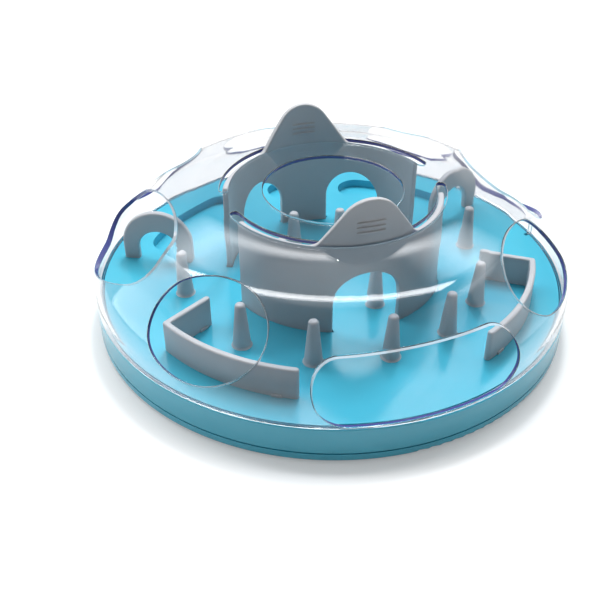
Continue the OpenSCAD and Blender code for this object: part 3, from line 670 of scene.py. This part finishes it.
def oval(half_w, half_h, end_r):
    """An oval of four arcs that run into each other.

    The ends have radius e, and the long sides have the radius
    ((W - e)^2 + H^2 - e^2) / (2 (H - e)) for half width W and half height H.
    """
    side_r = ((half_w - end_r) ** 2 + half_h ** 2 - end_r ** 2) / (2 * (half_h - end_r))
    off = half_w - end_r
    lean = math.atan2(side_r - half_h, off)
    return np.concatenate([
        arc((off, 0), end_r, -lean, lean, OVAL_ARC),
        arc((0, half_h - side_r), side_r, lean, math.pi - lean, OVAL_ARC),
        arc((-off, 0), end_r, math.pi - lean, math.pi + lean, OVAL_ARC),
        arc((0, side_r - half_h), side_r, math.pi + lean, 2 * math.pi - lean, OVAL_ARC)])


def slot_outline(middle_turn):
    """A slot that follows a circle about the axis, with round ends, anticlockwise."""
    half, wide = SLOT_HALF_TURN, SLOT_HALF_W
    first = middle_turn - math.pi / 2
    ends = [SLOT_MID_R * np.array([math.cos(first + k * half), math.sin(first + k * half)])
            for k in (1, -1)]
    return np.concatenate([
        arc((0, 0), SLOT_MID_R + wide, first - half, first + half, SLOT_ARC),
        arc(ends[0], wide, first + half, first + half + math.pi, SLOT_END),
        arc((0, 0), SLOT_MID_R - wide, first + half, first - half, SLOT_ARC),
        arc(ends[1], wide, first - half + math.pi, first - half + 2 * math.pi, SLOT_END)])


def dome_cuts(shape):
    """The outlines of the foot, the hole, the slots and the paw openings on both faces."""
    turns = np.linspace(0, -2 * np.pi, FOOT_POINTS, endpoint=False)
    foot = np.column_stack([np.full(FOOT_POINTS, shape.reach[-1]), turns])
    cuts = [(foot, foot)]
    hole = arc((0, 0), HOLE_R, -math.pi / 2, 1.5 * math.pi, HOLE_POINTS)
    level = np.array([0, 0, RIDGE_Z])
    for outline, turn, count in ((hole, 0, HOLE_POINTS), (slot_outline(0), 0, SLOT_POINTS),
                                 (slot_outline(math.pi), math.pi, SLOT_POINTS)):
        cuts.append(shape.cut(even_steps(outline, count), level, np.eye(3), LEVEL_SPAN, turn))
    upward = np.array([0, 0, 1.0])
    for turn, inset, height, half_turn, half_h, end_r, tilt, roll in PAWS:
        turn, tilt, roll = (math.radians(a) for a in (turn, tilt, roll))
        mid_r = BASE_R - inset / 1000
        along = np.array([math.cos(turn), math.sin(turn), 0])
        outward = np.array([math.sin(turn), -math.cos(turn), 0])
        way = math.cos(tilt) * outward + math.sin(tilt) * upward
        rise = math.cos(tilt) * upward - math.sin(tilt) * outward
        axes = (math.cos(roll) * along + math.sin(roll) * rise,
                math.cos(roll) * rise - math.sin(roll) * along, way)
        middle = mid_r * outward + np.array([0, 0, FLOOR_Z + height / 1000])
        line = oval(mid_r * math.sin(math.radians(half_turn)), half_h / 1000, end_r / 1000)
        cuts.append(shape.cut(even_steps(line, PAW_POINTS), middle, axes, PAW_SPAN, turn))
    return zip(*cuts)


def ring_grid(section, slopes, count):
    """A closed section, given as radius and height, carried once round the axis."""
    turn = np.linspace(0, 2 * np.pi, count, endpoint=False)
    ids = np.arange(len(section) * count).reshape(len(section), count)
    faces = strips(np.vstack([ids, ids[:1]])).tolist()
    points, normals = (about_axis(pairs[:, :1], turn, pairs[:, 1:]).reshape(-1, 3)
                       for pairs in (section, slopes))
    return points, normals, faces, [0] * len(faces)


def rounded_box_section(low, high, bend):
    """Anticlockwise outline of a rectangle with round corners, and its normals."""
    points, slopes = [], []
    for k, (x, y) in enumerate(((1, -1), (1, 1), (-1, 1), (-1, -1))):
        corner = np.array([high[0] if x > 0 else low[0], high[1] if y > 0 else low[1]])
        angle = np.linspace(k - 1, k, EDGE_STEPS + 1) * math.pi / 2
        way = np.column_stack([np.cos(angle), np.sin(angle)])
        points.append(corner - bend * np.array([x, y]) + bend * way)
        slopes.append(way)
    return np.concatenate(points), np.concatenate(slopes)


def joined(parts):
    """Several sets of points, normals, faces and slots as one."""
    points, normals, faces, slots = zip(*parts)
    bases = np.cumsum([0] + [len(part) for part in points])
    faces = [[base + i for i in face] for base, part in zip(bases, faces) for face in part]
    return np.concatenate(points), np.concatenate(normals), faces, np.concatenate(slots)


class PlainShape:
    """A plate whose own measures are two lengths, so that they lie in the plane as they are."""

    def flat(self, p):
        return p

    def back(self, q):
        return q

    def metric(self, p):
        return np.ones(len(p))


class WallShape(PlainShape):
    """A turret wall as a bent plate: its measures are the arc length and the height."""

    def __init__(self, radius, turn):
        self.radius, self.turn = radius, turn

    def place(self, p, depth):
        return about_axis(self.radius - depth, p[:, 0] / self.radius + self.turn, p[:, 1])

    def out(self, p):
        return about_axis(1, p[:, 0] / self.radius + self.turn, 0)


class BlockShape(PlainShape):
    """An upright block with a flat top: its measures are its plan, its depth goes down."""

    def __init__(self, top):
        self.top = top

    def place(self, p, depth):
        return np.column_stack([p, np.full(len(p), self.top - depth)])

    def out(self, p):
        return np.tile([0.0, 0, 1], (len(p), 1))


def tab_line():
    """Right half of a lifting tab above the rim, from its foot up to the middle.

    A hollow arc leads from the rim into a straight flank, which runs into a round top.
    """
    middle = TAB_HIGH - TAB_TOP_R
    touch = (TAB_TOP_R * math.sin(TAB_SLOPE), middle + TAB_TOP_R * math.cos(TAB_SLOPE))
    half_w = touch[0] + touch[1] / math.tan(TAB_SLOPE)
    reach = half_w + TAB_FOOT_R * math.tan(TAB_SLOPE / 2)
    hollow = arc((reach, TAB_FOOT_R), TAB_FOOT_R, -math.pi / 2, -math.pi / 2 - TAB_SLOPE,
                 TAB_HOLLOW)
    top = arc((0, middle), TAB_TOP_R, math.pi / 2 - TAB_SLOPE, math.pi / 2, TAB_ARC)
    return np.concatenate([hollow, np.array([touch]), top, np.array([[0, TAB_HIGH]])])


def wall_outline(sizes, doors):
    """Clockwise outline of a turret wall: its tab above, its doorways open at the foot."""
    rim = FLOOR_Z + sizes.turret_height
    low = FLOOR_Z - TURRET_FOOT
    mid_r = TURRET_R - sizes.turret_thickness / 2
    half = TURRET_R * math.radians(TURRET_HALF_TURN)
    bend = TURRET_BEND * sizes.turret_round

    def bent(points):
        return np.column_stack([TURRET_R * np.arcsin(points[:, 0] / mid_r), points[:, 1]])

    def corner(x, z, quarter):
        return arc((x, z), bend, quarter * math.pi / 2, (quarter - 1) * math.pi / 2, SHORT_ARC)

    tab = bent(tab_line() + [0, rim])
    left = tab * [-1, 1]
    line = [corner(-half + bend, low + bend, -1), corner(-half + bend, rim - bend, 2), left,
            tab[::-1][1:], corner(half - bend, rim - bend, 1), corner(half - bend, low + bend, 0)]
    for turn, half_w, high in doors:
        top = arc((0, FLOOR_Z + high - half_w), half_w, 0, math.pi, DOOR_ARC)
        door = bent(np.vstack([corner(half_w + bend, low + bend, -1), top,
                               corner(-half_w - bend, low + bend, 0)]))
        line.append(door + [TURRET_R * math.radians(turn), 0])
    return np.concatenate(line)


def grip_lines(shape, sizes):
    """Grip lines on both faces of a tab.

    Each is a bar of half length L, half height b and rise p: at the share s along it and
    the angle a round it, the height is b sin(a) k and the rise p cos(a) k, where
    k = sqrt(1 - s^8).
    """
    share = np.sin(np.linspace(-math.pi / 2, math.pi / 2, GRIP_LONG))
    angle = np.linspace(0, 2 * np.pi, GRIP_ROUND, endpoint=False)
    swell = np.sqrt(np.maximum(1 - share ** 8, 1e-4))[:, None]
    turn = (GRIP_HALF_LONG * share[:, None] + 0 * angle) / shape.radius + shape.turn
    ids = np.arange(turn.size).reshape(turn.shape)
    faces = strips(ids)[:, [0, 3, 2, 1]].tolist() + [ids[0].tolist(), ids[-1][::-1].tolist()]
    parts = []
    for k in range(GRIP_COUNT):
        middle = FLOOR_Z + sizes.turret_height + GRIP_FIRST + GRIP_STEP * k
        for face, side in ((0, 1), (sizes.turret_thickness, -1)):
            radius = shape.radius - face + side * GRIP_RISE * np.cos(angle) * swell
            height = middle + GRIP_HALF_WIDE * np.sin(angle) * swell
            parts.append((about_axis(radius, turn, height).reshape(-1, 3),
                          about_axis(side * np.cos(angle), turn, np.sin(angle)).reshape(-1, 3),
                          [line[::side] for line in faces], [0] * len(faces)))
    return joined(parts)


def on_plan(radius, turn):
    """The place in the plan at a radius and a turn from the front, in degrees."""
    turn = math.radians(turn)
    return radius * np.array([math.sin(turn), -math.cos(turn)])


def corner_legs():
    """Start, corner and tip of the right-hand corner wall's middle line, its way and radius."""
    mid_r = BASE_R - CORNER_INSET - CORNER_HALF
    start, corner = on_plan(mid_r, CORNER_START_TURN), on_plan(mid_r, CORNER_TURN)
    tip = on_plan(mid_r - CORNER_LEG, CORNER_TIP_TURN)
    return start, corner, tip, (tip - corner) / np.linalg.norm(tip - corner), mid_r


def corner_outline():
    """Clockwise plan of the right-hand corner wall: a curved leg, a straight leg, round ends."""
    start, corner, tip, way, mid_r = corner_legs()
    half = CORNER_HALF
    side = np.array([way[1], -way[0]])
    lean = math.atan2(side[1], side[0])
    first, last = math.radians(CORNER_START_TURN - 90), math.radians(CORNER_TURN - 90)
    inner = corner - half * side
    toward = inner @ way
    run = -toward - math.sqrt(toward ** 2 - inner @ inner + (mid_r - half) ** 2)
    meet = inner + run * way
    back = math.atan2(meet[1], meet[0])
    outline = np.concatenate([
        arc((0, 0), mid_r + half, first, last, LEG_ARC),
        arc(corner, half, last, lean, LEG_CORNER),
        arc(tip, half, lean, lean + math.pi, LEG_END),
        meet[None],
        arc((0, 0), mid_r - half, back, first, LEG_ARC),
        arc(start, half, first + math.pi, first + 2 * math.pi, LEG_END)])
    return outline[::-1]


def bar_outline(middle, way, half_long, half_wide, bend):
    """Clockwise plan of a bar with round corners, which points along a way."""
    points, _ = rounded_box_section((-half_long, -half_wide), (half_long, half_wide), bend)
    side = np.array([-way[1], way[0]])
    return (middle + points[:, :1] * way + points[:, 1:] * side)[::-1]


def bar_across(radius, turn, half_long, half_wide, bend):
    """Plan of a bar that stands across a radius, at a turn from the front in degrees."""
    way = np.array([math.cos(math.radians(turn)), math.sin(math.radians(turn))])
    return bar_outline(on_plan(radius, turn), way, half_long, half_wide, bend)


def corner_lugs():
    """Plans of the two clip lugs at the right-hand corner wall's foot."""
    _, corner, _, way, mid_r = corner_legs()
    place = corner + LUG_REACH * way + LUG_OUT * np.array([-way[1], way[0]])
    bend = LUG_BEND * LUG_ROUND
    return (bar_across(mid_r + LUG_OUT, LUG_TURN, LUG_HALF_LONG, CORNER_HALF, bend),
            bar_outline(place, way, LUG_HALF_LONG, CORNER_HALF, bend))


def upright(outline, top, height, bend, step):
    """A block with a round top edge over a plan."""
    rows = edge_rows(height, bend, FOOT_ROUND)
    return bent_plate([outline], [outline], [rows], height, BlockShape(top), step)


class FEEDER_OT_base(bpy.types.Operator):
    """Colours the tray and the bottom plate"""

    bl_idname = "feeder.base"
    bl_label = "Dress the base"

    def execute(self, context):
        finish = context.scene.feeder_finish
        material = moulded_plastic("turquoise_plastic", finish.tray_colour, depth=0.06,
                                   gloss=(0.13, 0.2), grain_scale=1500, grain=0.04)
        dress(["base_tray", "base_plate"], material)
        return {"FINISHED"}


class FEEDER_OT_obstacles(bpy.types.Operator):
    """Colours the pegs and arches, and makes the corner walls"""

    bl_idname = "feeder.obstacles"
    bl_label = "Make the obstacles"

    def execute(self, context):
        finish = context.scene.feeder_finish
        sizes = context.scene.feeder_obstacles
        material = moulded_plastic("grey_plastic", finish.grey_colour, depth=0.05,
                                   gloss=(0.36, 0.5), grain_scale=1900, grain=0.12)
        kinds = ("outer_peg", "inner_peg", "corner_wall", "arch")
        dress([name for name in nodes if name.startswith(kinds)], material)
        plans = (even_steps(corner_outline(), CORNER_POINTS),) + corner_lugs()
        for side, flip in (("right", 1), ("left", -1)):
            wall, *lugs = [plan[::flip] * [flip, 1] for plan in plans]
            made = [upright(wall, FLOOR_Z + sizes.wall_height, sizes.wall_height,
                            sizes.wall_round, CORNER_WEB)]
            made += [upright(lug, FLOOR_Z + LUG_HEIGHT, LUG_HEIGHT, LUG_ROUND, CORNER_WEB)
                     for lug in lugs]
            add_piece(smooth_mesh("corner_wall_body_" + side, *joined(made)), "tray",
                      [material], ["corner_wall_" + side])
        return {"FINISHED"}


class FEEDER_OT_turret(bpy.types.Operator):
    """Makes the two turret walls with their tabs and grip lines"""

    bl_idname = "feeder.turret"
    bl_label = "Make the turret"

    def execute(self, context):
        finish = context.scene.feeder_finish
        sizes = context.scene.feeder_obstacles
        material = moulded_plastic("turret_plastic", finish.grey_colour, depth=0.06,
                                   gloss=(0.3, 0.44), grain_scale=1700, grain=0.09)
        dress(["turret_front", "turret_rear"], material)
        thick = sizes.turret_thickness
        rows = edge_rows(thick, sizes.turret_round, sizes.turret_round)
        for side, turn in (("front", 0), ("rear", math.pi)):
            shape = WallShape(TURRET_R, turn)
            outline = even_steps(wall_outline(sizes, DOORWAYS[side]), TURRET_POINTS)
            wall = bent_plate([outline], [outline], [rows], thick, shape, TURRET_WEB)
            add_piece(smooth_mesh("turret_wall_body_" + side, *wall), "turret_wall_" + side,
                      [material], ["turret_" + side])
            grips = smooth_mesh("grip_lines_" + side, *grip_lines(shape, sizes))
            add_piece(grips, "turret_wall_" + side, [material])
        return {"FINISHED"}


class FEEDER_OT_fittings(bpy.types.Operator):
    """Colours the rubber feet and the screws"""

    bl_idname = "feeder.fittings"
    bl_label = "Dress the feet and screws"

    def execute(self, context):
        finish = context.scene.feeder_finish
        rubber = moulded_plastic("foot_rubber", finish.rubber_colour, depth=0.2,
                                 gloss=(0.6, 0.8), grain_scale=2600, grain=0.3)
        dress([name for name in nodes if name.startswith("rubber_foot")], rubber)
        steel = moulded_plastic("screw_steel", finish.steel_colour, depth=0.15,
                                gloss=(0.25, 0.4), grain_scale=3000, grain=0.05)
        steel.node_tree.nodes["Principled BSDF"].inputs["Metallic"].default_value = 1
        dress(["plate_screws"], steel)
        return {"FINISHED"}


class FEEDER_OT_dome(bpy.types.Operator):
    """Makes the clear dome with its paw openings, slots, hole, tongue and key rib"""

    bl_idname = "feeder.dome"
    bl_label = "Make the dome"

    def execute(self, context):
        finish = context.scene.feeder_finish
        sizes = context.scene.feeder_dome
        material, tree, skin, output = new_material("clear_plastic")
        skin.inputs["Transmission Weight"].default_value = 1
        wire(tree, skin, {"Base Color": (*finish.clear_colour, 1), "IOR": finish.dome_ior})
        clear_detail(tree, skin, low=0.01, high=0.05, waves=0.03)
        soft_bounce = tree.nodes.new("ShaderNodeLightPath").outputs["Is Diffuse Ray"]
        see_through(tree, skin, output, soft_bounce, CLEAR_SHADE)
        dress(["dome_cover"], material)
        # The cut edges get painted shade from outside and painted light from within
        edge = cut_edge_painted_shade_and_light(finish)
        shape = DomeShape(sizes)
        outer, inner = dome_cuts(shape)
        soft = edge_rows(sizes.thickness, sizes.edge_round, sizes.edge_round)
        crisp_round = CRISP_SHARE * sizes.edge_round
        crisp = edge_rows(sizes.thickness, crisp_round, crisp_round)
        rows = [crisp if index in CRISP_CUTS else soft for index in range(len(outer))]
        # Every cut but the foot takes the slot of painted shade and light on its edge flat
        shell = bent_plate(outer, inner, rows, sizes.thickness, shape, sizes.web,
                           range(1, len(outer)))
        tongue = ring_grid(*rounded_box_section(TONGUE_LOW, TONGUE_HIGH, TONGUE_ROUND),
                           RING_POINTS)
        plan = bar_across(BASE_R - sizes.thickness - KEY_INSET, KEY_TURN, KEY_HALF_LONG,
                          KEY_HALF_WIDE, KEY_BEND * KEY_ROUND)
        rib = upright(plan, KEY_TOP, KEY_HEIGHT, KEY_ROUND, KEY_WEB)
        mesh = smooth_mesh("dome_shell", *joined([shell, tongue, rib]))
        add_piece(mesh, "dome", [material, edge], ["dome_cover"])
        return {"FINISHED"}


def seen_directly(tree):
    """1 for the rays that see a surface from the camera, in a gloss or through glass."""
    ray = tree.nodes.new("ShaderNodeLightPath").outputs
    mirrored = worked(tree, "MAXIMUM", ray["Is Camera Ray"], ray["Is Glossy Ray"])
    return worked(tree, "MAXIMUM", mirrored, ray["Is Transmission Ray"])


def room_way(tree):
    """The direction in which a ray meets the room."""
    return tree.nodes.new("ShaderNodeTexCoord").outputs["Generated"]


def soft_spot(tree, bright, turn, rise, width):
    """A soft round brightness in the room about a direction, out to a width in degrees."""
    near = add_node(tree, "ShaderNodeVectorMath",
                    {0: room_way(tree), 1: place_at(VIEW_TURN + turn, rise, 1)},
                    operation="DOT_PRODUCT")
    return spread(tree, near.outputs["Value"], math.cos(math.radians(width)), 1, 0, bright)


def place_at(turn, rise, gap):
    """A place at a turn from the front, a rise above the floor and a distance, in degrees."""
    turn, rise = math.radians(turn), math.radians(rise)
    return Vector((gap * math.cos(rise) * math.sin(turn),
                   -gap * math.cos(rise) * math.cos(turn), gap * math.sin(rise)))


def area_lamp(name, place, power, width, height):
    """A soft rectangular lamp that points at the bowl, its width along the camera's right."""
    lamp = bpy.data.lights.new(name, "AREA")
    lamp.shape = "RECTANGLE"
    lamp.size = width
    lamp.size_y = height
    lamp.energy = power
    holder = bpy.data.objects.new(name, lamp)
    bpy.context.scene.collection.objects.link(holder)
    holder.location = place
    back = (place - Vector((0, 0, FLOOR_Z))).normalized()
    along = place_at(VIEW_TURN + 90, 0, 1)
    along = (along - along.dot(back) * back).normalized()
    holder.rotation_euler = Matrix((along, back.cross(along), back)).transposed().to_euler()
    return holder


def studio_floor(radius):
    """A round floor of plain grey, which is lifted where it is seen directly."""
    turn = np.linspace(0, 2 * np.pi, FLOOR_POINTS, endpoint=False)
    ring = np.column_stack([np.cos(turn), np.sin(turn), 0 * turn]) * radius
    mesh = bpy.data.meshes.new("studio_floor")
    mesh.from_pydata(ring.tolist(), [], [list(range(len(turn)))])
    floor = bpy.data.objects.new("studio_floor", mesh)
    bpy.context.scene.collection.objects.link(floor)
    material, tree, skin, _ = new_material("studio_white")
    lift = worked(tree, "MULTIPLY", seen_directly(tree), FLOOR_LIFT)
    wire(tree, skin, {"Base Color": FLOOR_GREY, "Roughness": 0.9, "Specular IOR Level": 0,
                      "Emission Color": (1, 1, 1, 1), "Emission Strength": lift})
    mesh.materials.append(material)


def studio_room(studio):
    """The room's plain light, and the room that the camera, gloss and glass show.

    That one is pale at the horizon and dark above, but for a soft spot overhead, a soft spot
    behind the bowl and a soft band there between two heights.
    """
    world = bpy.data.worlds.new("studio_room")
    bpy.context.scene.world = world
    world.use_nodes = True
    tree = world.node_tree
    tree.nodes.clear()
    height = add_node(tree, "ShaderNodeSeparateXYZ", {"Vector": room_way(tree)}).outputs["Z"]
    band = soft_spot(tree, studio.band_glow, turn=178, rise=42, width=80)
    for ends in BAND_EDGES:
        band = worked(tree, "MULTIPLY", band, spread(tree, height, *ends))
    shown = spread(tree, height, *ROOM_DARKENS, 1, studio.ceiling)
    for glow in (soft_spot(tree, studio.glow, turn=0, rise=107, width=22),
                 soft_spot(tree, studio.back_glow, turn=178, rise=45, width=11.5), band):
        shown = worked(tree, "ADD", shown, glow)
    light = spread(tree, height, 0, 1, studio.low_sky, studio.sky)
    rooms = [add_node(tree, "ShaderNodeBackground", {"Strength": strength}).outputs["Background"]
             for strength in (light, shown)]
    add_node(tree, "ShaderNodeOutputWorld", {"Surface": blend(tree, seen_directly(tree), *rooms)})


def studio_camera(focal_length):
    """The camera, at the place and with the lens that the photo's view asks for."""
    lens = bpy.data.cameras.new("camera")
    lens.sensor_fit = "HORIZONTAL"
    lens.sensor_width = SENSOR_W
    lens.lens = focal_length
    lens.shift_x = CAMERA_SHIFT
    lens.clip_start = 0.01
    camera = bpy.data.objects.new("camera", lens)
    bpy.context.scene.collection.objects.link(camera)
    camera.location = CAMERA_PLACE
    camera.rotation_euler = [math.radians(a) for a in CAMERA_TURNS]
    bpy.context.scene.camera = camera
    bpy.context.scene.view_settings.view_transform = "Standard"


class FEEDER_OT_studio(bpy.types.Operator):
    """Makes the floor, the lights and the camera"""

    bl_idname = "feeder.studio"
    bl_label = "Set the studio"

    def execute(self, context):
        studio = context.scene.feeder_studio
        studio_floor(studio.floor_radius)
        studio_room(studio)
        for name, power, turn, rise, gap, left, width, height, shown in LAMPS:
            place = place_at(VIEW_TURN + turn, rise, gap) + place_at(VIEW_TURN - 90, 0, left)
            lamp = area_lamp(name, place, getattr(studio, power), width, height)
            lamp.visible_glossy = lamp.visible_transmission = shown
        studio_camera(studio.focal_length)
        return {"FINISHED"}


class FEEDER_PT_sidebar(bpy.types.Panel):
    """Lists the bowl's finishes and the steps that dress it"""

    bl_idname = "FEEDER_PT_sidebar"
    bl_label = "Feeder Bowl"
    bl_space_type = "VIEW_3D"
    bl_region_type = "UI"
    bl_category = "Feeder Bowl"

    def draw(self, context):
        for title, kind in GROUPS.items():
            box = self.layout.box()
            box.label(text=title.removeprefix("feeder_").capitalize())
            for name in kind.__annotations__:
                box.prop(getattr(context.scene, title), name)
        for step in STEPS:
            self.layout.operator(step.bl_idname)


STEPS = (FEEDER_OT_base, FEEDER_OT_obstacles, FEEDER_OT_turret, FEEDER_OT_fittings,
         FEEDER_OT_dome, FEEDER_OT_studio)
GROUPS = {"feeder_finish": FeederFinish, "feeder_dome": FeederDome,
          "feeder_obstacles": FeederObstacles, "feeder_studio": FeederStudio}
CLASSES = (*GROUPS.values(), *STEPS, FEEDER_PT_sidebar)


def register():
    for cls in CLASSES:
        bpy.utils.register_class(cls)
    for name, kind in GROUPS.items():
        setattr(bpy.types.Scene, name, bpy.props.PointerProperty(type=kind))


def unregister():
    for name in GROUPS:
        delattr(bpy.types.Scene, name)
    for cls in reversed(CLASSES):
        bpy.utils.unregister_class(cls)


def main():
    register()
    bpy.ops.feeder.base()
    bpy.ops.feeder.obstacles()
    bpy.ops.feeder.turret()
    bpy.ops.feeder.fittings()
    bpy.ops.feeder.dome()
    bpy.ops.feeder.studio()


if __name__ == "__main__":
    main()
